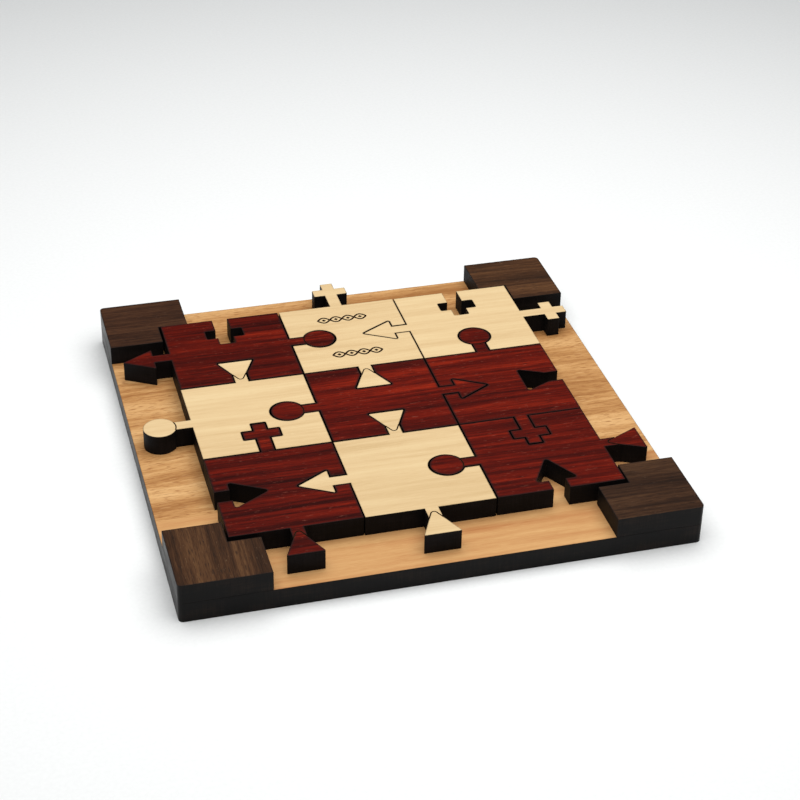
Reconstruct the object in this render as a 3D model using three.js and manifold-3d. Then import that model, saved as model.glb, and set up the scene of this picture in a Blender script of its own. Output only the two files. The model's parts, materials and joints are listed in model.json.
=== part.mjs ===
// Edge-matching puzzle: nine interlocking wooden tiles lying loose on a square tray,
// held in place by four notched corner blocks glued to the tray.
// Millimetres, +Z up. The origin is the centre of the tray's underside.
// +X runs to the right along the front edge and +Y runs to the back.
import * as THREE from 'three';
import { mergeVertices } from 'three/addons/utils/BufferGeometryUtils.js';
import Module from 'manifold-3d';

const wasm = await Module();
wasm.setup();

// Tray board
const TRAY_SIDE = 144;
const TRAY_THICKNESS = 6;
const TRAY_CORNER_RADIUS = 1.4;

// Corner blocks, flush with the tray's sides
const BLOCK_WIDTH = 25; // along X
const BLOCK_DEPTH = 24.5; // along Y
const BLOCK_THICKNESS = 5.8;
const BLOCK_NOTCH_X = 56; // distance from the tray's centre to the notch faces, along X
const BLOCK_NOTCH_Y = 56.35; // the same distance, along Y

// Tiles
const TILE_PITCH = 37;
const TILE_GAP = 0.3;
const TILE_THICKNESS = 6;
const TILE_SIDE = TILE_PITCH - TILE_GAP;
const ARRAY_SHIFT_Y = 0.5; // the loose array lies a little behind the tray's centre

// Emblems. Distances are measured outwards from the line midway between two tiles.
const NECK_WIDTH = 3.9;
const SOCKET_CLEARANCE = 0.4; // all round, between a tab and the socket it sits in
const CIRCLE_CENTRE = 9;
const CIRCLE_RADIUS = 4.75;
const CROSS_BAR_START = 6.75;
const CROSS_BAR_END = 10.6;
const CROSS_BAR_HALF = 5.3;
const CROSS_TIP = 14;
const ARROW_HEAD_START = 4.85;
const ARROW_HEAD_HALF = 5.4;
const ARROW_TIP = 14.2;
const TRIANGLE_APEX = 0.4;
const TRIANGLE_BASE = 11.5;
const TRIANGLE_HALF = 5.3;
const TRIANGLE_APEX_RADIUS = 0.9;
const TAB_CORNER_RADIUS = 0.25;
const PLATE_CORNER_STEPS = 5;
const CORNER_STEPS = 3;
const CIRCLE_STEPS = 40;

// Scored lines that finish the circle and the triangle where the neck crosses them
const SCORE_WIDTH = 0.25;
const SCORE_DEPTH = 0.25;
const SCORE_STEPS = 8;

// Engraved braid on the back centre tile, one band on each side of the emblems
const BRAID_OFFSET = 10.3;
const BRAID_LENGTH = 15.4;
const BRAID_AMPLITUDE = 1.5;
const BRAID_LOOPS = 4;
const BRAID_STEPS_PER_LOOP = 8;
const BRAID_LINE_WIDTH = 0.5;
const BRAID_DEPTH = 0.3;
const DIAMOND_HALF = 0.6;

// Woods
const BEECH = { color: 0xd7a36c, roughness: 0.6 };
const WALNUT = { color: 0x4b3226, roughness: 0.62 };
const MAPLE = { color: 0xf0d6a5, roughness: 0.55 };
const PADAUK = { color: 0x641610, roughness: 0.5 };

// Sides are listed back, right, front, left. Plus is a tab, minus is a socket.
// The shift is how far the loose tile lies from the middle of its cell.
const TILES = [
  { name: 'tile_back_left', cell: [-1, 1], shift: [0, 0.3], wood: PADAUK,
    sides: '-cross +circle -triangle +arrow' },
  { name: 'tile_back_centre', cell: [0, 1], shift: [0.12, 0.15], wood: MAPLE,
    sides: '+cross -arrow +triangle -circle' },
  { name: 'tile_back_right', cell: [1, 1], shift: [0.15, 0.05], wood: MAPLE,
    sides: '-cross +cross -circle +arrow' },
  { name: 'tile_middle_left', cell: [-1, 0], shift: [-0.12, 0.1], wood: MAPLE,
    sides: '+triangle -circle -cross +circle' },
  { name: 'tile_middle_centre', cell: [0, 0], shift: [0.06, 0.12], wood: PADAUK,
    sides: '-triangle +arrow -triangle +circle' },
  { name: 'tile_middle_right', cell: [1, 0], shift: [0.15, 0.05], wood: PADAUK,
    sides: '+circle -triangle +cross -arrow' },
  { name: 'tile_front_left', cell: [-1, -1], shift: [-0.1, 0.05], wood: PADAUK,
    sides: '+cross -arrow +triangle -arrow' },
  { name: 'tile_front_centre', cell: [0, -1], shift: [-0.06, -0.1], wood: MAPLE,
    sides: '+triangle -circle +triangle +arrow' },
  { name: 'tile_front_right', cell: [1, -1], shift: [0.1, 0.05], wood: PADAUK,
    sides: '-cross +triangle -arrow +circle' },
];
const BRAIDED_TILE = 'tile_back_centre';

const BLOCKS = ['back_right', 'back_left', 'front_left', 'front_right'];

const point = (x, y) => new THREE.Vector2(x, y);

// Replaces one corner of an outline with a short arc.
function roundedCorner(before, corner, after, radius, steps) {
  const inward = before.clone().sub(corner).normalize();
  const outward = after.clone().sub(corner).normalize();
  const halfAngle = inward.angleTo(outward) / 2;
  const bisector = inward.clone().add(outward).normalize();
  const centre = corner.clone().addScaledVector(bisector, radius / Math.sin(halfAngle));
  const start = corner.clone().addScaledVector(inward, radius / Math.tan(halfAngle)).sub(centre);
  const end = corner.clone().addScaledVector(outward, radius / Math.tan(halfAngle)).sub(centre);
  const sweep = Math.atan2(start.cross(end), start.dot(end));
  const points = [];
  for (let i = 0; i <= steps; i += 1) {
    points.push(start.clone().rotateAround(point(0, 0), (sweep * i) / steps).add(centre));
  }
  return points;
}

// Turns a list of [x, y, corner radius] into points, rounding each corner that has a radius.
function roundedOutline(corners) {
  const points = [];
  for (let i = 1; i < corners.length - 1; i += 1) {
    const neighbours = [corners[i - 1], corners[i], corners[i + 1]];
    const [before, corner, after] = neighbours.map((c) => point(c[0], c[1]));
    if (corners[i][2]) {
      points.push(...roundedCorner(before, corner, after, corners[i][2], CORNER_STEPS));
    } else {
      points.push(corner);
    }
  }
  return points;
}

// Adds the mirror image of a half outline, so that it runs from negative x to positive x.
function mirrored(half) {
  const left = half.map((p) => point(-p.x, p.y)).filter((p) => p.x < -1e-6);
  return [...left, ...[...half].reverse()];
}

// Each emblem is the right half of its outline, from the neck's foot to its tip.
// "grow" moves the outline outwards, which turns a tab into the socket that takes it.
function circleHalf(edge, grow) {
  const neck = NECK_WIDTH / 2 + grow;
  const radius = CIRCLE_RADIUS + grow;
  const neckAngle = Math.asin(neck / radius);
  const points = [point(neck, edge)];
  const steps = CIRCLE_STEPS / 2;
  for (let i = 0; i <= steps; i += 1) {
    const angle = neckAngle + ((Math.PI - neckAngle) * i) / steps;
    points.push(point(radius * Math.sin(angle), CIRCLE_CENTRE - radius * Math.cos(angle)));
  }
  return points;
}

function crossHalf(edge, grow) {
  const neck = NECK_WIDTH / 2 + grow;
  const radius = TAB_CORNER_RADIUS + grow / 2;
  const tip = CROSS_TIP + 1.5 * grow;
  return roundedOutline([
    [neck, edge - 1],
    [neck, edge],
    [neck, CROSS_BAR_START - grow],
    [CROSS_BAR_HALF + grow, CROSS_BAR_START - grow, radius],
    [CROSS_BAR_HALF + grow, CROSS_BAR_END + grow, radius],
    [neck, CROSS_BAR_END + grow],
    [neck, tip, radius],
    [0, tip],
  ]);
}

function arrowHalf(edge, grow) {
  const neck = NECK_WIDTH / 2 + grow;
  const slope = ARROW_HEAD_HALF / (ARROW_TIP - ARROW_HEAD_START);
  const tip = ARROW_TIP + grow / Math.sin(Math.atan(slope));
  const headStart = ARROW_HEAD_START - grow;
  const barb = (tip - headStart) * slope;
  const radius = TAB_CORNER_RADIUS + grow;
  const tipPoints = roundedCorner(point(barb, headStart), point(0, tip), point(-barb, headStart), radius, 4);
  return [
    ...roundedOutline([
      [neck, edge - 1],
      [neck, edge],
      [neck, headStart],
      [barb, headStart, radius],
      [0, tip],
    ]),
    ...tipPoints.filter((p) => p.x > -1e-6),
  ];
}

function triangleHalf(edge, grow) {
  const neck = NECK_WIDTH / 2 + grow;
  const slope = TRIANGLE_HALF / (TRIANGLE_BASE - TRIANGLE_APEX);
  const apex = TRIANGLE_APEX - grow / Math.sin(Math.atan(slope));
  const base = TRIANGLE_BASE + grow;
  return roundedOutline([
    [neck, edge - 1],
    [neck, edge],
    [neck, apex + neck / slope],
    [(base - apex) * slope, base, TAB_CORNER_RADIUS + grow],
    [0, base],
  ]);
}

const EMBLEM_HALF = { circle: circleHalf, cross: crossHalf, arrow: arrowHalf, triangle: triangleHalf };

// One side of a tile, running from left to right with the outside at +y.
function sideOutline(sign, emblem) {
  const half = TILE_SIDE / 2;
  const reach = TILE_PITCH / 2;
  const corner = point(-half, half);
  if (sign === '+') {
    const tab = mirrored(EMBLEM_HALF[emblem](-TILE_GAP / 2, 0));
    return [corner, ...tab.map((p) => point(p.x, reach + p.y))];
  }
  const socket = mirrored(EMBLEM_HALF[emblem](TILE_GAP / 2, SOCKET_CLEARANCE));
  return [corner, ...socket.map((p) => point(p.x, reach - p.y))];
}

// Side k is the back side turned clockwise by k quarter turns.
const sideAngle = (k) => (-Math.PI / 2) * k;

const sideList = (tile) => tile.sides.split(' ').map((text) => ({ sign: text[0], emblem: text.slice(1) }));

function tileOutline(tile) {
  const points = sideList(tile).flatMap(({ sign, emblem }, k) =>
    sideOutline(sign, emblem).map((p) => p.rotateAround(point(0, 0), sideAngle(k))));
  return new THREE.Shape(points.reverse());
}

// A flat strip of constant width that follows a line.
function ribbon(line, width) {
  const sideOf = (sign) => line.map((p, i) => {
    const before = line[Math.max(i - 1, 0)];
    const after = line[Math.min(i + 1, line.length - 1)];
    const along = after.clone().sub(before).normalize();
    return point(p.x - sign * along.y * (width / 2), p.y + sign * along.x * (width / 2));
  });
  return new THREE.Shape([...sideOf(-1), ...sideOf(1).reverse()]);
}

function circleScore() {
  const radius = CIRCLE_RADIUS - SCORE_WIDTH / 2;
  const limit = Math.asin(NECK_WIDTH / 2 / CIRCLE_RADIUS);
  const line = [];
  for (let i = 0; i <= SCORE_STEPS; i += 1) {
    const angle = -limit + (2 * limit * i) / SCORE_STEPS;
    line.push(point(radius * Math.sin(angle), CIRCLE_CENTRE - radius * Math.cos(angle)));
  }
  return line;
}

function triangleScore() {
  const slope = TRIANGLE_HALF / (TRIANGLE_BASE - TRIANGLE_APEX);
  const top = TRIANGLE_APEX + NECK_WIDTH / 2 / slope;
  const foot = point(0, TRIANGLE_APEX);
  const left = point(-NECK_WIDTH / 2, top);
  const right = point(NECK_WIDTH / 2, top);
  return [left, ...roundedCorner(left, foot, right, TRIANGLE_APEX_RADIUS, SCORE_STEPS), right];
}

const SCORE_LINE = { circle: circleScore, triangle: triangleScore };

function scoreShapes(tile) {
  const shapes = [];
  sideList(tile).forEach(({ sign, emblem }, k) => {
    if (sign === '+' && SCORE_LINE[emblem]) {
      const line = SCORE_LINE[emblem]().map((p) =>
        point(p.x, TILE_PITCH / 2 + p.y).rotateAround(point(0, 0), sideAngle(k)));
      shapes.push(ribbon(line, SCORE_WIDTH));
    }
  });
  return shapes;
}

function diamond(x, y) {
  return new THREE.Shape([
    point(x - DIAMOND_HALF, y),
    point(x, y - DIAMOND_HALF),
    point(x + DIAMOND_HALF, y),
    point(x, y + DIAMOND_HALF),
  ]);
}

// Two waves that cross, with a diamond in each loop between them.
function braidShapes(y) {
  const steps = BRAID_LOOPS * BRAID_STEPS_PER_LOOP;
  const wave = (sign) => {
    const line = [];
    for (let i = 0; i <= steps; i += 1) {
      const phase = (Math.PI * i) / BRAID_STEPS_PER_LOOP;
      line.push(point(BRAID_LENGTH * (i / steps - 0.5), y + sign * BRAID_AMPLITUDE * Math.sin(phase)));
    }
    return ribbon(line, BRAID_LINE_WIDTH);
  };
  const shapes = [wave(1), wave(-1)];
  for (let loop = 0; loop < BRAID_LOOPS; loop += 1) {
    shapes.push(diamond(BRAID_LENGTH * ((loop + 0.5) / BRAID_LOOPS - 0.5), y));
  }
  return shapes;
}

function plate(shape, thickness, z) {
  const options = { depth: thickness, bevelEnabled: false, curveSegments: PLATE_CORNER_STEPS };
  const geometry = new THREE.ExtrudeGeometry(shape, options);
  return geometry.translate(0, 0, z);
}

function toSolid(geometry) {
  const bare = geometry.clone();
  bare.deleteAttribute('normal');
  bare.deleteAttribute('uv');
  const welded = mergeVertices(bare, 1e-4);
  return new wasm.Manifold(new wasm.Mesh({
    numProp: 3,
    vertProperties: new Float32Array(welded.attributes.position.array),
    triVerts: new Uint32Array(welded.index.array),
  }));
}

function toGeometry(solid) {
  const mesh = solid.getMesh();
  const geometry = new THREE.BufferGeometry();
  geometry.setAttribute('position', new THREE.BufferAttribute(mesh.vertProperties, 3));
  geometry.setIndex(new THREE.BufferAttribute(mesh.triVerts, 1));
  geometry.computeVertexNormals();
  return geometry;
}

// Cuts shallow grooves of the given shapes into the top of a tile.
function engrave(solid, shapes, depth) {
  return shapes.reduce((body, shape) => {
    const groove = plate(shape, depth + 1, TRAY_THICKNESS + TILE_THICKNESS - depth);
    return body.subtract(toSolid(groove));
  }, solid);
}

function woodMaterial(wood) {
  return new THREE.MeshStandardMaterial({ color: wood.color, roughness: wood.roughness, metalness: 0 });
}

function namedMesh(name, geometry, wood) {
  const mesh = new THREE.Mesh(geometry, woodMaterial(wood));
  mesh.name = name;
  return mesh;
}

function trayShape() {
  const half = TRAY_SIDE / 2;
  const inner = half - TRAY_CORNER_RADIUS;
  const shape = new THREE.Shape();
  for (let k = 0; k < 4; k += 1) {
    const corner = point(inner, inner).rotateAround(point(0, 0), (Math.PI / 2) * k);
    shape.absarc(corner.x, corner.y, TRAY_CORNER_RADIUS, (Math.PI / 2) * k, (Math.PI / 2) * (k + 1));
  }
  return shape;
}

// The block at the back right corner: an outer square less a notch that faces the tiles.
function blockShape(width, depth, notchX, notchY) {
  const outer = TRAY_SIDE / 2;
  const innerX = outer - width;
  const innerY = outer - depth;
  const round = outer - TRAY_CORNER_RADIUS;
  const shape = new THREE.Shape();
  shape.moveTo(notchX, innerY);
  shape.lineTo(outer, innerY);
  shape.absarc(round, round, TRAY_CORNER_RADIUS, 0, Math.PI / 2);
  shape.lineTo(innerX, outer);
  shape.lineTo(innerX, notchY);
  shape.lineTo(notchX, notchY);
  return shape;
}

function trayBoard() {
  return namedMesh('tray_board', plate(trayShape(), TRAY_THICKNESS, 0), BEECH);
}

function cornerBlock(name, quarterTurns) {
  const swapped = quarterTurns % 2 === 1; // a quarter turn swaps the block's own X and Y
  const shape = swapped
    ? blockShape(BLOCK_DEPTH, BLOCK_WIDTH, BLOCK_NOTCH_Y, BLOCK_NOTCH_X)
    : blockShape(BLOCK_WIDTH, BLOCK_DEPTH, BLOCK_NOTCH_X, BLOCK_NOTCH_Y);
  const geometry = plate(shape, BLOCK_THICKNESS, TRAY_THICKNESS).rotateZ((Math.PI / 2) * quarterTurns);
  return namedMesh(`corner_block_${name}`, geometry, WALNUT);
}

function puzzleTile(tile) {
  const blank = toSolid(plate(tileOutline(tile), TILE_THICKNESS, TRAY_THICKNESS));
  const scored = engrave(blank, scoreShapes(tile), SCORE_DEPTH);
  const bands = tile.name === BRAIDED_TILE ? [BRAID_OFFSET, -BRAID_OFFSET] : [];
  const body = engrave(scored, bands.flatMap(braidShapes), BRAID_DEPTH);
  const geometry = toGeometry(body);
  const x = tile.cell[0] * TILE_PITCH + tile.shift[0];
  const y = tile.cell[1] * TILE_PITCH + ARRAY_SHIFT_Y + tile.shift[1];
  geometry.translate(x, y, 0);
  return namedMesh(tile.name, geometry, tile.wood);
}

const puzzle = new THREE.Group();
puzzle.name = 'edge_matching_puzzle';
puzzle.add(trayBoard());
BLOCKS.forEach((name, quarterTurns) => puzzle.add(cornerBlock(name, quarterTurns)));
TILES.forEach((tile) => puzzle.add(puzzleTile(tile)));

export default puzzle;
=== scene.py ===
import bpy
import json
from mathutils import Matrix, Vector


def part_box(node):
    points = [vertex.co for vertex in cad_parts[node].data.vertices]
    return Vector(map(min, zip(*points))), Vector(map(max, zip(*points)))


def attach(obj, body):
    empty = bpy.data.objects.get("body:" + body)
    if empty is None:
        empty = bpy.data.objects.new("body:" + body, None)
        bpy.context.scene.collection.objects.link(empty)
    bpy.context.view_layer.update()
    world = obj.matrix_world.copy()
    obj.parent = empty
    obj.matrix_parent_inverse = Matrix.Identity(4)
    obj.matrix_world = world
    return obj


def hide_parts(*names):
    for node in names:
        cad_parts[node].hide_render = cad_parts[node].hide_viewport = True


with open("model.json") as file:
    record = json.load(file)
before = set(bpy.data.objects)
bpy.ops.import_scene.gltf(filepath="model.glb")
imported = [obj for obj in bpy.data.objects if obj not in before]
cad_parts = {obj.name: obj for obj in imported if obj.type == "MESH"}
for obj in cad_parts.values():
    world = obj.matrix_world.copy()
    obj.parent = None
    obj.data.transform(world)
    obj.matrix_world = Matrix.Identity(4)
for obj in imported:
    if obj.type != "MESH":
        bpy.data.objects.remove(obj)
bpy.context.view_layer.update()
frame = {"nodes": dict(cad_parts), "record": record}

# A nine-tile edge-matching puzzle: padauk and maple tiles on a beech tray with walnut corner
# blocks. Each piece is rebuilt from the outlines of its CAD node with a rounded rim, and gets a
# wood on its flat faces and a laser-charred finish on its cut sides.

import json
import math

import bmesh
import bpy
import numpy as np
from mathutils import Matrix, Vector, geometry

MM = 0.001

# Camera, in the frame of the part
CAMERA_PLACE = Vector((-0.12419, -0.46502, 0.32327))
CAMERA_YAW = 0.2729
CAMERA_PITCH = -0.5740
CAMERA_ROLL = 0.0182
CAMERA_LENS = 88.53
SENSOR_WIDTH = 36.0
NEAREST_SEEN = 0.01

# Studio: the light's sizes in metres, its power in watts
SKY_COLOUR = (0.93, 0.97, 1.0)
SKY_STRENGTH = 0.22
LIGHT_PLACE = (0.02, 0.0, 0.42)
LIGHT_DIAMETER = 0.70
LIGHT_POWER = 3.35
LIGHT_COLOUR = (1.0, 0.99, 0.975)

# Floor: a round sheet that curves up at its rim, in metres
FLOOR_FLAT = 2.0             # radius of its level part
FLOOR_BEND = 0.4             # radius of the curve
FLOOR_TOP = 0.7
FLOOR_BEND_STEPS = 12
FLOOR_SIDES = 96

# Edges of the pieces
RIM_ROUND = 0.07 * MM        # radius of the softened rim
RIM_STEPS = 2                # rings in the softened rim
SCORCH_SPACING = 0.7 * MM    # between the points that end the scorch
SCORCH_CROWDED = 0.3         # share of that spacing below which a point is left out
SCORCH_CLEAR = 0.97          # share of the scorch's width a point keeps from every edge
GROOVE_SCORCH = 0.3          # scorch beside an engraved line, where a cut edge has 1
GROOVE_DEEPEST = 1.0 * MM    # engraved lines stay above this depth
OUTER_SIDE = 71.5 * MM       # the tray's outer sides lie beyond this
WELD = 0.03 * MM             # corners closer than this are one
LEVEL = 0.002 * MM           # heights closer than this are the same
UPRIGHT = 0.99               # least upright part of a flat face's normal
POINT_TOLERANCE = 1e-6       # in mm, when a flat face is filled with triangles
FLAT_ANGLE = math.radians(0.5)
SHARP_ANGLE = math.radians(20)

# Material slots of a piece
WOOD_SLOT, OUTER_SLOT, INNER_SLOT, GROOVE_SLOT, FRONT_BOARD_SLOT = range(5)

# Surface detail. Scales are per mm.
RELIEF = 0.05 * MM           # depth of every bump
DRIFT_SCALE = (0.016, 0.035, 0.035)
MOTTLE_SCALE = (0.9, 0.9, 0.9)
CHAR_PATCH_SCALE = (0.10, 0.10, 0.25)
CHAR_LINE_SCALE = (3.2, 3.2, 0.10)
CHAR_LAYER_SCALE = (0.05, 0.05, 2.2)
FLOOR_FIBRE_SCALE = (900.0, 900.0, 900.0)    # per metre

# How each piece's grain lies: its wood, its place in the plank in mm, quarter turns, and its
# tint beside the others of its wood
GRAIN = {
    "tray_board": ("beech", (12.0, 255.0, 3.0), 0, (1.0, 1.0, 0.98)),
    "corner_block_back_right": ("walnut", (310.0, 22.0, 8.0), 0, (1.45, 1.38, 1.20)),
    "corner_block_back_left": ("walnut", (95.0, 61.0, 21.0), 0, (0.97, 0.88, 0.88)),
    "corner_block_front_left": ("walnut", (520.0, 130.0, 35.0), 1, (1.34, 1.32, 1.18)),
    "corner_block_front_right": ("walnut", (733.0, 87.0, 14.0), 0, (0.88, 0.88, 0.88)),
    "tile_back_left": ("padauk", (40.0, 210.0, 5.0), 0, (0.95, 0.95, 0.95)),
    "tile_middle_centre": ("padauk", (260.0, 35.0, 17.0), 0, (1.08, 1.05, 1.05)),
    "tile_middle_right": ("padauk", (450.0, 150.0, 29.0), 0, (1.0, 1.0, 1.0)),
    "tile_front_left": ("padauk", (615.0, 90.0, 41.0), 0, (1.0, 1.0, 1.0)),
    "tile_front_right": ("padauk", (870.0, 15.0, 53.0), 0, (1.0, 1.0, 1.0)),
    "tile_back_centre": ("maple", (70.0, 15.0, 4.0), 0, (1.0, 1.0, 1.0)),
    "tile_back_right": ("maple", (190.0, 120.0, 16.0), 0, (1.0, 1.0, 1.0)),
    "tile_middle_left": ("maple", (330.0, 60.0, 28.0), 0, (1.0, 1.0, 1.0)),
    "tile_front_centre": ("maple", (540.0, 175.0, 40.0), 0, (0.98, 0.98, 0.98)),
}

# The tray is two boards glued edge to edge. The narrow one in front has its own wood and grain.
TRAY_SEAM = -35.5 * MM
FRONT_BOARD_WOOD = "smooth_beech"
FRONT_BOARD_ORIGIN = (150.0, 615.0, 22.0)


# ---------------------------------------------------------------- camera, light and floor

def add_camera():
    pitch, yaw = CAMERA_PITCH, CAMERA_YAW
    forward = Vector((
        math.sin(yaw) * math.cos(pitch),
        math.cos(yaw) * math.cos(pitch),
        math.sin(pitch),
    ))
    right = forward.cross(Vector((0, 0, 1))).normalized()
    up = right.cross(forward)
    turned_right = math.cos(CAMERA_ROLL) * right + math.sin(CAMERA_ROLL) * up
    turned_up = -math.sin(CAMERA_ROLL) * right + math.cos(CAMERA_ROLL) * up
    data = bpy.data.cameras.new("camera")
    data.lens = CAMERA_LENS
    data.sensor_width = SENSOR_WIDTH
    data.clip_start = NEAREST_SEEN
    camera = bpy.data.objects.new("camera", data)
    turn = Matrix((turned_right, turned_up, -forward)).transposed()
    camera.matrix_world = Matrix.Translation(CAMERA_PLACE) @ turn.to_4x4()
    bpy.context.scene.collection.objects.link(camera)
    bpy.context.scene.camera = camera


def add_overhead_light():
    data = bpy.data.lights.new("overhead", "AREA")
    data.shape = "DISK"
    data.size = LIGHT_DIAMETER
    data.energy = LIGHT_POWER
    data.color = LIGHT_COLOUR
    light = bpy.data.objects.new("overhead", data)
    light.location = LIGHT_PLACE
    light.rotation_euler = (-Vector(LIGHT_PLACE)).to_track_quat("-Z", "Y").to_euler()
    bpy.context.scene.collection.objects.link(light)


def add_studio():
    world = bpy.data.worlds.new("studio")
    world.use_nodes = True
    background = world.node_tree.nodes["Background"]
    background.inputs["Color"].default_value = (*SKY_COLOUR, 1.0)
    background.inputs["Strength"].default_value = SKY_STRENGTH
    bpy.context.scene.world = world
    add_overhead_light()
    bpy.context.scene.view_settings.view_transform = "Standard"


# ---------------------------------------------------------------- shader building

class Tree:
    """A material's nodes, added one at a time, with values or links as their inputs."""

    def __init__(self, name):
        self.material = bpy.data.materials.new(name)
        self.material.use_nodes = True
        self.nodes = self.material.node_tree.nodes
        self.links = self.material.node_tree.links
        self.shader = self.nodes["Principled BSDF"]

    def feed(self, socket, value):
        if isinstance(value, bpy.types.NodeSocket):
            self.links.new(value, socket)
        else:
            socket.default_value = value

    def add(self, kind, inputs, out=0, **settings):
        node = self.nodes.new(kind)
        for name, value in settings.items():
            setattr(node, name, value)
        for name, value in inputs.items():
            self.feed(node.inputs[name], value)
        return node.outputs[out]

    def attribute(self, name, out):
        return self.add("ShaderNodeAttribute", {}, out, attribute_name=name)

    def stretch(self, vector, scale):
        return self.add("ShaderNodeVectorMath", {0: vector, 1: scale}, operation="MULTIPLY")

    def noise(self, vector, scale, detail=2.0, roughness=0.5):
        place = self.stretch(vector, scale)
        inputs = {"Vector": place, "Scale": 1.0, "Detail": detail, "Roughness": roughness}
        return self.add("ShaderNodeTexNoise", inputs, "Fac")

    def math(self, operation, a, b=0.0, clamp=False):
        inputs = {0: a, 1: b}
        return self.add("ShaderNodeMath", inputs, operation=operation, use_clamp=clamp)

    def remap(self, value, low, high, new_low=0.0, new_high=1.0):
        inputs = {
            "Value": value,
            "From Min": low,
            "From Max": high,
            "To Min": new_low,
            "To Max": new_high,
        }
        return self.add("ShaderNodeMapRange", inputs)

    def mix(self, share, a, b):
        node = self.nodes.new("ShaderNodeMix")
        node.data_type = "RGBA"
        self.feed(node.inputs["Factor"], share)
        self.feed(node.inputs[6], a)
        self.feed(node.inputs[7], b)
        return node.outputs[2]

    def blend_values(self, parts):
        """The weighted sum of several 0 to 1 values."""
        total = 0.0
        for value, weight in parts:
            total = self.math("ADD", self.math("MULTIPLY", value, weight), total)
        return total

    def ramp(self, value, stops):
        node = self.nodes.new("ShaderNodeValToRGB")
        elements = node.color_ramp.elements
        while len(elements) < len(stops):
            elements.new(0.5)
        for element, (place, colour) in zip(elements, stops):
            element.position = place
            element.color = (*colour, 1.0)
        self.feed(node.inputs["Fac"], value)
        return node.outputs["Color"]

    def finish(self, colour, roughness, specular, height, relief):
        """Sets the shader's colour, gloss and bump."""
        inputs = {"Height": height, "Strength": relief, "Distance": RELIEF}
        self.feed(self.shader.inputs["Base Color"], colour)
        self.feed(self.shader.inputs["Roughness"], roughness)
        self.feed(self.shader.inputs["Specular IOR Level"], specular)
        self.feed(self.shader.inputs["Normal"], self.add("ShaderNodeBump", inputs, "Normal"))


# ---------------------------------------------------------------- woods

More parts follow.
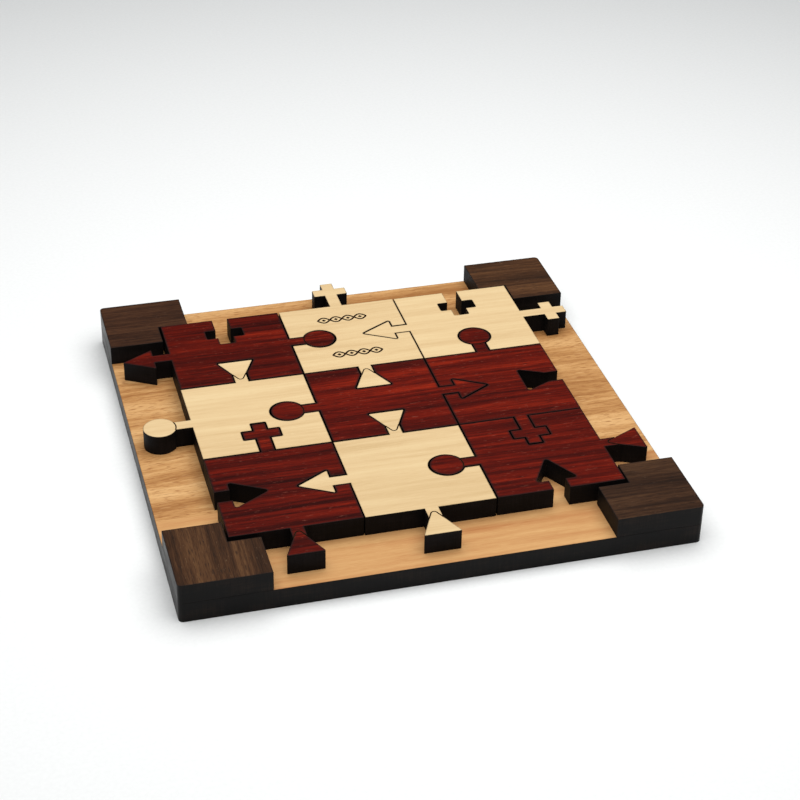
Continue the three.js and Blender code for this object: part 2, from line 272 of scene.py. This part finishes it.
# Colours are linear. Ramps run from the darkest streak to the lightest. Scales are per mm,
# along the grain and across it.
WOODS = {
    "padauk": {
        "ramp": [
            (0.37, (0.022, 0.0018, 0.0012)),
            (0.47, (0.064, 0.0034, 0.0015)),
            (0.55, (0.112, 0.0060, 0.0020)),
            (0.65, (0.230, 0.0150, 0.0038)),
        ],
        "weights": (0.42, 0.38, 0.20),
        "band": (0.010, 0.26),
        "streak": (0.028, 0.95),
        "fibre": (0.22, 6.0),
        "wave": 1.6,
        "flecks": (0.58, 0.70, (0.018, 0.0020, 0.0016), 0.75),
        "flecks_scale": (0.20, 4.2),
        "specks": (0.71, 0.77, (0.280, 0.0850, 0.0550), 0.55),
        "specks_scale": (0.45, 4.5),
        "scorch": (0.018, 0.0075, 0.0068),
        "scorch_width": 0.6 * MM,
        "scorch_strength": 0.88,
        "scorch_power": 1.0,
        "roughness": 0.55,
        "specular": 0.04,
    },
    "maple": {
        "ramp": [
            (0.36, (0.565, 0.395, 0.200)),
            (0.47, (0.632, 0.458, 0.246)),
            (0.56, (0.668, 0.498, 0.274)),
            (0.66, (0.695, 0.533, 0.302)),
        ],
        "weights": (0.45, 0.35, 0.20),
        "band": (0.012, 0.20),
        "streak": (0.030, 0.80),
        "fibre": (0.20, 5.0),
        "wave": 2.2,
        "flecks": (0.66, 0.76, (0.520, 0.330, 0.155), 0.35),
        "flecks_scale": (0.24, 3.6),
        "specks": (0.66, 0.76, (0.740, 0.590, 0.350), 0.30),
        "specks_scale": (0.30, 3.0),
        "scorch": (0.060, 0.030, 0.015),
        "scorch_width": 0.45 * MM,
        "scorch_strength": 0.45,
        "scorch_power": 3.0,
        "roughness": 0.55,
        "specular": 0.10,
    },
    "beech": {
        "ramp": [
            (0.38, (0.315, 0.135, 0.041)),
            (0.47, (0.462, 0.233, 0.085)),
            (0.54, (0.560, 0.310, 0.126)),
            (0.64, (0.655, 0.393, 0.176)),
        ],
        "weights": (0.50, 0.30, 0.20),
        "band": (0.010, 0.13),
        "streak": (0.040, 0.60),
        "fibre": (0.30, 5.5),
        "wave": 2.6,
        "flecks": (0.57, 0.66, (0.290, 0.115, 0.036), 0.78),
        "flecks_scale": (0.32, 3.0),
        "specks": (0.62, 0.74, (0.700, 0.440, 0.210), 0.35),
        "specks_scale": (0.25, 2.4),
        "scorch": (0.100, 0.045, 0.020),
        "scorch_width": 0.45 * MM,
        "scorch_strength": 0.35,
        "scorch_power": 3.0,
        "roughness": 0.56,
        "specular": 0.10,
    },
    "smooth_beech": {
        "ramp": [
            (0.38, (0.430, 0.180, 0.064)),
            (0.46, (0.500, 0.246, 0.096)),
            (0.53, (0.545, 0.292, 0.118)),
            (0.62, (0.605, 0.348, 0.148)),
        ],
        "weights": (0.58, 0.28, 0.14),
        "band": (0.007, 0.16),
        "streak": (0.030, 0.55),
        "fibre": (0.22, 4.0),
        "wave": 1.6,
        "flecks": (0.60, 0.72, (0.400, 0.180, 0.060), 0.30),
        "flecks_scale": (0.26, 3.2),
        "specks": (0.62, 0.74, (0.700, 0.440, 0.200), 0.25),
        "specks_scale": (0.25, 2.4),
        "scorch": (0.100, 0.045, 0.020),
        "scorch_width": 0.45 * MM,
        "scorch_strength": 0.35,
        "scorch_power": 3.0,
        "roughness": 0.56,
        "specular": 0.10,
    },
    "walnut": {
        "ramp": [
            (0.37, (0.016, 0.0074, 0.0042)),
            (0.47, (0.034, 0.0148, 0.0074)),
            (0.55, (0.058, 0.0262, 0.0124)),
            (0.66, (0.095, 0.0465, 0.0210)),
        ],
        "weights": (0.40, 0.36, 0.24),
        "band": (0.012, 0.22),
        "streak": (0.035, 0.90),
        "fibre": (0.26, 4.8),
        "wave": 1.8,
        "flecks": (0.60, 0.68, (0.014, 0.0080, 0.0060), 0.70),
        "flecks_scale": (0.30, 4.0),
        "specks": (0.70, 0.78, (0.150, 0.0950, 0.0600), 0.40),
        "specks_scale": (0.60, 4.0),
        "scorch": (0.010, 0.0070, 0.0060),
        "scorch_width": 0.5 * MM,
        "scorch_strength": 0.70,
        "scorch_power": 2.0,
        "roughness": 0.60,
        "specular": 0.06,
    },
}


def wood_material(name):
    wood = WOODS[name]
    tree = Tree(name)
    place = tree.attribute("grain", "Vector")
    slow = tree.noise(place, DRIFT_SCALE, 1.0)
    drift = tree.remap(slow, 0.0, 1.0, -wood["wave"], wood["wave"])
    shift = tree.add("ShaderNodeCombineXYZ", {"Y": drift})
    waved = tree.add("ShaderNodeVectorMath", {0: place, 1: shift}, operation="ADD")

    def along_grain(scale, detail, roughness=0.5):
        along, across = scale
        return tree.noise(waved, (along, across, across), detail, roughness)

    band = along_grain(wood["band"], 2.0)
    streak = along_grain(wood["streak"], 3.0, 0.6)
    fibre = along_grain(wood["fibre"], 2.0, 0.6)
    tone = tree.blend_values(zip((band, streak, fibre), wood["weights"]))
    colour = tree.ramp(tone, wood["ramp"])

    def spotted(colour, kind):
        """The colour with flecks or specks over it, and their share at each place."""
        low, high, spot_colour, strength = wood[kind]
        spots = along_grain(wood[kind + "_scale"], 1.0)
        share = tree.remap(spots, low, high, 0.0, strength)
        return tree.mix(share, colour, (*spot_colour, 1.0)), share

    colour, fleck_share = spotted(colour, "flecks")
    colour, _ = spotted(colour, "specks")
    colour = tree.stretch(colour, tree.attribute("tint", "Vector"))

    rim = tree.attribute("rim", "Fac")
    mottle = tree.noise(place, MOTTLE_SCALE, 2.0)
    uneven = tree.math("MULTIPLY", rim, tree.remap(mottle, 0.25, 0.75, 0.75, 1.3), clamp=True)
    faded = tree.math("POWER", uneven, wood["scorch_power"])
    scorch = tree.math("MULTIPLY", faded, wood["scorch_strength"])
    colour = tree.mix(scorch, colour, (*wood["scorch"], 1.0))

    middle = wood["roughness"]
    roughness = tree.remap(fibre, 0.3, 0.7, middle + 0.08, middle - 0.08)
    pitted = tree.math("SUBTRACT", fibre, tree.math("MULTIPLY", fleck_share, 0.8))
    tree.finish(colour, roughness, wood["specular"], pitted, 0.35)
    return tree.material


# The finishes of the faces the laser made
CHARS = {
    "outer_char": {
        "ramp": [
            (0.32, (0.0022, 0.0018, 0.0018)),
            (0.50, (0.0042, 0.0034, 0.0032)),
            (0.68, (0.0160, 0.0100, 0.0074)),
        ],
        "roughness": 0.39,
        "specular": 0.11,
    },
    "inner_char": {
        "ramp": [
            (0.32, (0.0030, 0.0028, 0.0030)),
            (0.50, (0.0060, 0.0055, 0.0058)),
            (0.68, (0.0130, 0.0105, 0.0105)),
        ],
        "roughness": 0.55,
        "specular": 0.06,
    },
    "groove_char": {
        "ramp": [
            (0.32, (0.0120, 0.0055, 0.0030)),
            (0.50, (0.0260, 0.0115, 0.0060)),
            (0.68, (0.0480, 0.0220, 0.0110)),
        ],
        "roughness": 0.70,
        "specular": 0.03,
    },
}


def char_material(name):
    """The laser-cut faces: near black, a little brown, with fine upright striations."""
    char = CHARS[name]
    tree = Tree(name)
    place = tree.attribute("grain", "Vector")
    patches = tree.noise(place, CHAR_PATCH_SCALE, 3.0)
    lines = tree.noise(place, CHAR_LINE_SCALE, 2.0, 0.6)
    layers = tree.noise(place, CHAR_LAYER_SCALE, 2.0)
    tone = tree.blend_values([(patches, 0.5), (lines, 0.3), (layers, 0.2)])
    middle = char["roughness"]
    roughness = tree.remap(patches, 0.3, 0.7, middle - 0.07, middle + 0.07)
    tree.finish(tree.ramp(tone, char["ramp"]), roughness, char["specular"], lines, 0.20)
    return tree.material


def floor_material():
    tree = Tree("floor_paper")
    place = tree.add("ShaderNodeTexCoord", {}, "Object")
    fine = tree.noise(place, FLOOR_FIBRE_SCALE, 3.0)
    colour = tree.ramp(fine, [(0.3, (0.800, 0.812, 0.815)), (0.7, (0.830, 0.842, 0.845))])
    tree.finish(colour, 0.75, 0.2, fine, 0.05)
    return tree.material


def add_floor():
    """A round sheet that curves up far from the object on every side."""
    profile = [(FLOOR_FLAT, 0.0)]
    for step in range(1, FLOOR_BEND_STEPS + 1):
        angle = 0.5 * math.pi * step / FLOOR_BEND_STEPS
        reach = FLOOR_FLAT + FLOOR_BEND * math.sin(angle)
        profile.append((reach, FLOOR_BEND * (1 - math.cos(angle))))
    profile.append((FLOOR_FLAT + FLOOR_BEND, FLOOR_TOP))
    angles = [2 * math.pi * side / FLOOR_SIDES for side in range(FLOOR_SIDES)]
    body = bmesh.new()
    rings = []
    for reach, height in profile:
        places = [(reach * math.cos(a), reach * math.sin(a), height) for a in angles]
        rings.append([body.verts.new(place) for place in places])
    body.faces.new(rings[0])
    for low, high in zip(rings, rings[1:]):
        for side in range(FLOOR_SIDES):
            following = (side + 1) % FLOOR_SIDES
            corners = (low[side], high[side], high[following], low[following])
            body.faces.new(reversed(corners)).smooth = True
    mesh = bpy.data.meshes.new("floor")
    body.to_mesh(mesh)
    body.free()
    floor = bpy.data.objects.new("floor", mesh)
    floor.data.materials.append(floor_material())
    bpy.context.scene.collection.objects.link(floor)


# ---------------------------------------------------------------- rebuilding a CAD node

def welded(node):
    """The node's mesh with shared corners and whole flat faces."""
    body = bmesh.new()
    body.from_mesh(frame["nodes"][node].data)
    bmesh.ops.remove_doubles(body, verts=body.verts, dist=WELD)
    bmesh.ops.dissolve_limit(body, angle_limit=FLAT_ANGLE, verts=body.verts, edges=body.edges)
    body.normal_update()
    return body


def is_flat(face, height, up):
    return abs(face.calc_center_median().z - height) < LEVEL and face.normal.z * up > UPRIGHT


def border(body, height, up):
    """The flat faces at a height, and their outer edges with the material on the left."""
    faces = [face for face in body.faces if is_flat(face, height, up)]
    chosen = set(faces)
    edges = []
    for face in faces:
        for loop in face.loops:
            if any(other in chosen for other in loop.edge.link_faces if other is not face):
                continue
            pair = (loop.vert, loop.link_loop_next.vert)
            edges.append(pair if up > 0 else pair[::-1])
    return faces, edges


class Segments:
    """Straight edges in plan, for measuring distances to them."""

    def __init__(self, edges):
        self.start = np.array([start.co[:2] for start, end in edges])
        self.along = np.array([end.co[:2] for start, end in edges]) - self.start
        self.length_squared = np.maximum((self.along ** 2).sum(1), 1e-18)

    def distance(self, point):
        share = ((point - self.start) * self.along).sum(1) / self.length_squared
        foot = self.start + np.clip(share, 0, 1)[:, None] * self.along
        return np.sqrt(((point - foot) ** 2).sum(1).min())

    def encloses(self, point):
        end = self.start + self.along
        crosses = (self.start[:, 1] > point[1]) != (end[:, 1] > point[1])
        start, along = self.start[crosses], self.along[crosses]
        x = start[:, 0] + (point[1] - start[:, 1]) / along[:, 1] * along[:, 0]
        return (x > point[0]).sum() % 2 == 1


def scorch_ends(segments, width):
    """Points inside the outline, where the scorch along it has faded to nothing."""
    ends = np.zeros((0, 2))
    for start, along in zip(segments.start, segments.along):
        length = np.hypot(*along)
        inwards = np.array((-along[1], along[0])) / length * width
        count = max(1, round(length / SCORCH_SPACING))
        for step in range(count + 1):
            point = start + along * step / count + inwards
            nearest = np.hypot(*(ends - point).T).min() if len(ends) else math.inf
            crowded = nearest < SCORCH_CROWDED * SCORCH_SPACING
            if not crowded and segments.distance(point) > SCORCH_CLEAR * width:
                ends = np.vstack((ends, point))
    return ends


def refill(body, height, up, contour, rim, width):
    """Replaces the flat faces at a height by triangles fine enough to carry the scorch."""
    faces, edges = border(body, height, up)
    bmesh.ops.delete(body, geom=faces, context="FACES_ONLY")
    loose = [edge for edge in body.edges if not edge.link_faces]
    bmesh.ops.delete(body, geom=loose, context="EDGES")
    segments = Segments(edges)
    verts = list(dict.fromkeys(vert for pair in edges for vert in pair))
    index = {vert: i for i, vert in enumerate(verts)}
    for vert in verts:
        on_contour = contour.distance(np.array(vert.co[:2])) < 2 * RIM_ROUND
        vert[rim] = 1.0 if on_contour else GROOVE_SCORCH
    for x, y in scorch_ends(segments, width):
        verts.append(body.verts.new((x, y, height)))
    points = [vert.co.to_2d() / MM for vert in verts]
    fixed = [(index[a], index[b]) for a, b in edges]
    filling = geometry.delaunay_2d_cdt(points, fixed, [], 0, POINT_TOLERANCE)
    found, _, triangles, origins = filling[:4]
    for triangle in triangles:
        middle = sum((found[i] for i in triangle), Vector((0.0, 0.0))) / 3 * MM
        if segments.encloses(np.array(middle)):
            corners = [verts[origins[i][0]] for i in triangle]
            body.faces.new(corners if up > 0 else corners[::-1])


def soften_rims(body, low, high):
    """Rounds the edges between the cut sides and the two flat faces."""
    rims = []
    for edge in body.edges:
        ends = [is_flat(face, low, -1) or is_flat(face, high, 1) for face in edge.link_faces]
        if sum(ends) == 1:
            rims.append(edge)
    bmesh.ops.bevel(
        body,
        geom=rims,
        offset=RIM_ROUND,
        offset_type="OFFSET",
        affect="EDGES",
        segments=RIM_STEPS,
        profile=0.5,
        clamp_overlap=False,
    )
    body.normal_update()


def finish_of(face, low, high, contour):
    if is_flat(face, low, -1) or is_flat(face, high, 1):
        return WOOD_SLOT
    middle = face.calc_center_median()
    if max(abs(middle.x), abs(middle.y)) > OUTER_SIDE:
        return OUTER_SLOT
    shallow = min(vert.co.z for vert in face.verts) > high - GROOVE_DEEPEST
    if shallow and contour.distance(np.array(middle[:2])) > 2 * RIM_ROUND:
        return GROOVE_SLOT
    return INNER_SLOT


def choose_finishes(body, low, high, contour):
    for face in body.faces:
        face.material_index = finish_of(face, low, high, contour)
        face.smooth = face.material_index != WOOD_SLOT
    for edge in body.edges:
        edge.smooth = edge.calc_face_angle(math.pi) < SHARP_ANGLE


def cut_at_seam(body):
    """Splits the tray's faces where its two boards meet."""
    bmesh.ops.bisect_plane(
        body,
        geom=[*body.verts, *body.edges, *body.faces],
        plane_co=(0, TRAY_SEAM, 0),
        plane_no=(0, 1, 0),
    )


def lay_grain(mesh, node):
    """Gives every corner its place in the plank and its tint."""
    _, origin, quarter_turns, tint = GRAIN[node]
    turn = Matrix.Rotation(0.5 * math.pi * quarter_turns, 3, "Z")
    places = mesh.attributes.new("grain", "FLOAT_VECTOR", "CORNER")
    tints = mesh.attributes.new("tint", "FLOAT_VECTOR", "CORNER")
    for face in mesh.polygons:
        front_board = node == "tray_board" and face.center.y < TRAY_SEAM
        start = Vector(FRONT_BOARD_ORIGIN if front_board else origin)
        if front_board and face.material_index == WOOD_SLOT:
            face.material_index = FRONT_BOARD_SLOT
        for corner in face.loop_indices:
            vert = mesh.vertices[mesh.loops[corner].vertex_index]
            places.data[corner].vector = turn @ (vert.co / MM) + start
            tints.data[corner].vector = tint


def build_piece(node):
    """The node again, with softened rims, scorched edges and its grain."""
    wood = GRAIN[node][0]
    body = welded(node)
    low, high = (corner.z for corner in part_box(node))
    contour = Segments(border(body, low, -1)[1])
    soften_rims(body, low, high)
    rim = body.verts.layers.float.new("rim")
    for vert in body.verts:
        vert[rim] = 1.0
    width = WOODS[wood]["scorch_width"]
    refill(body, high, 1, contour, rim, width)
    refill(body, low, -1, contour, rim, width)
    body.normal_update()
    if node == "tray_board":
        cut_at_seam(body)
    choose_finishes(body, low, high, contour)
    mesh = bpy.data.meshes.new(node + "_finished")
    body.to_mesh(mesh)
    body.free()
    lay_grain(mesh, node)
    for finish in (wood, *CHARS, FRONT_BOARD_WOOD):
        mesh.materials.append(materials[finish])
    piece = bpy.data.objects.new(node + "_finished", mesh)
    bpy.context.scene.collection.objects.link(piece)
    return piece


def body_of(node):
    for body, members in frame["record"]["behaviour"]["bodies"].items():
        if node in members:
            return body
    raise ValueError(node + " is on no body")


add_camera()
add_studio()
add_floor()
materials = {name: wood_material(name) for name in WOODS}
materials.update((name, char_material(name)) for name in CHARS)
for node in GRAIN:
    piece = build_piece(node)
    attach(piece, body_of(node))
    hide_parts(node)
